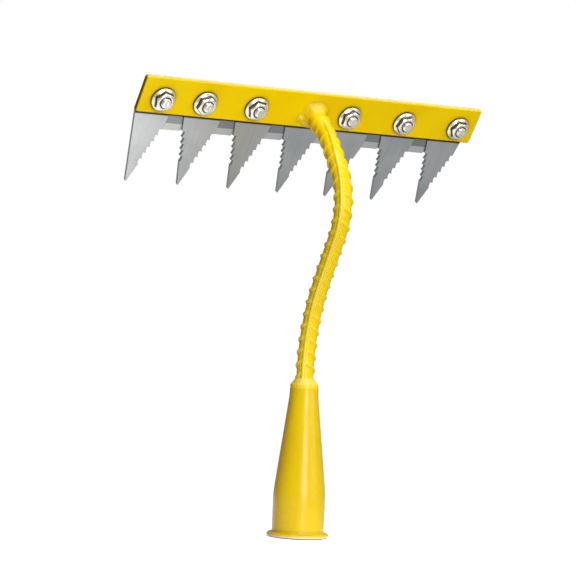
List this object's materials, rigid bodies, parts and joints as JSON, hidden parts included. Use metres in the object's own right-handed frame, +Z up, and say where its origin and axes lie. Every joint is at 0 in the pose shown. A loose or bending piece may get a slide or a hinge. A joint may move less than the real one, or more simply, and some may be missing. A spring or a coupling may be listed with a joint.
{
  "type": "weeding rake head",
  "caption": "Weeding rake head: saw-toothed steel blade bolted behind a flat yellow bar, on a ribbed bent neck with a tapered handle socket.",
  "frame": {"origin": "middle of the handle socket's mouth", "axes": "+Z up the handle's axis towards the head, +X along the head bar, -Y is the front with the nuts"},
  "size_m": [0.22, 0.0724, 0.2466],
  "materials": {
    "yellow_paint": "glossy",
    "ground_steel": "ground",
    "zinc": "bright plated"
  },
  "bodies": {
    "root": {"head_bar": "yellow_paint", "blade": "ground_steel", "neck": "yellow_paint", "head_weld": "yellow_paint", "socket": "yellow_paint", "socket_weld": "yellow_paint", "bolt_1": "zinc", "bolt_2": "zinc", "bolt_3": "zinc", "bolt_4": "zinc", "bolt_5": "zinc", "bolt_6": "zinc", "nut_1": "zinc", "nut_2": "zinc", "nut_3": "zinc", "nut_4": "zinc", "nut_5": "zinc", "nut_6": "zinc"}
  },
  "joints": []
}
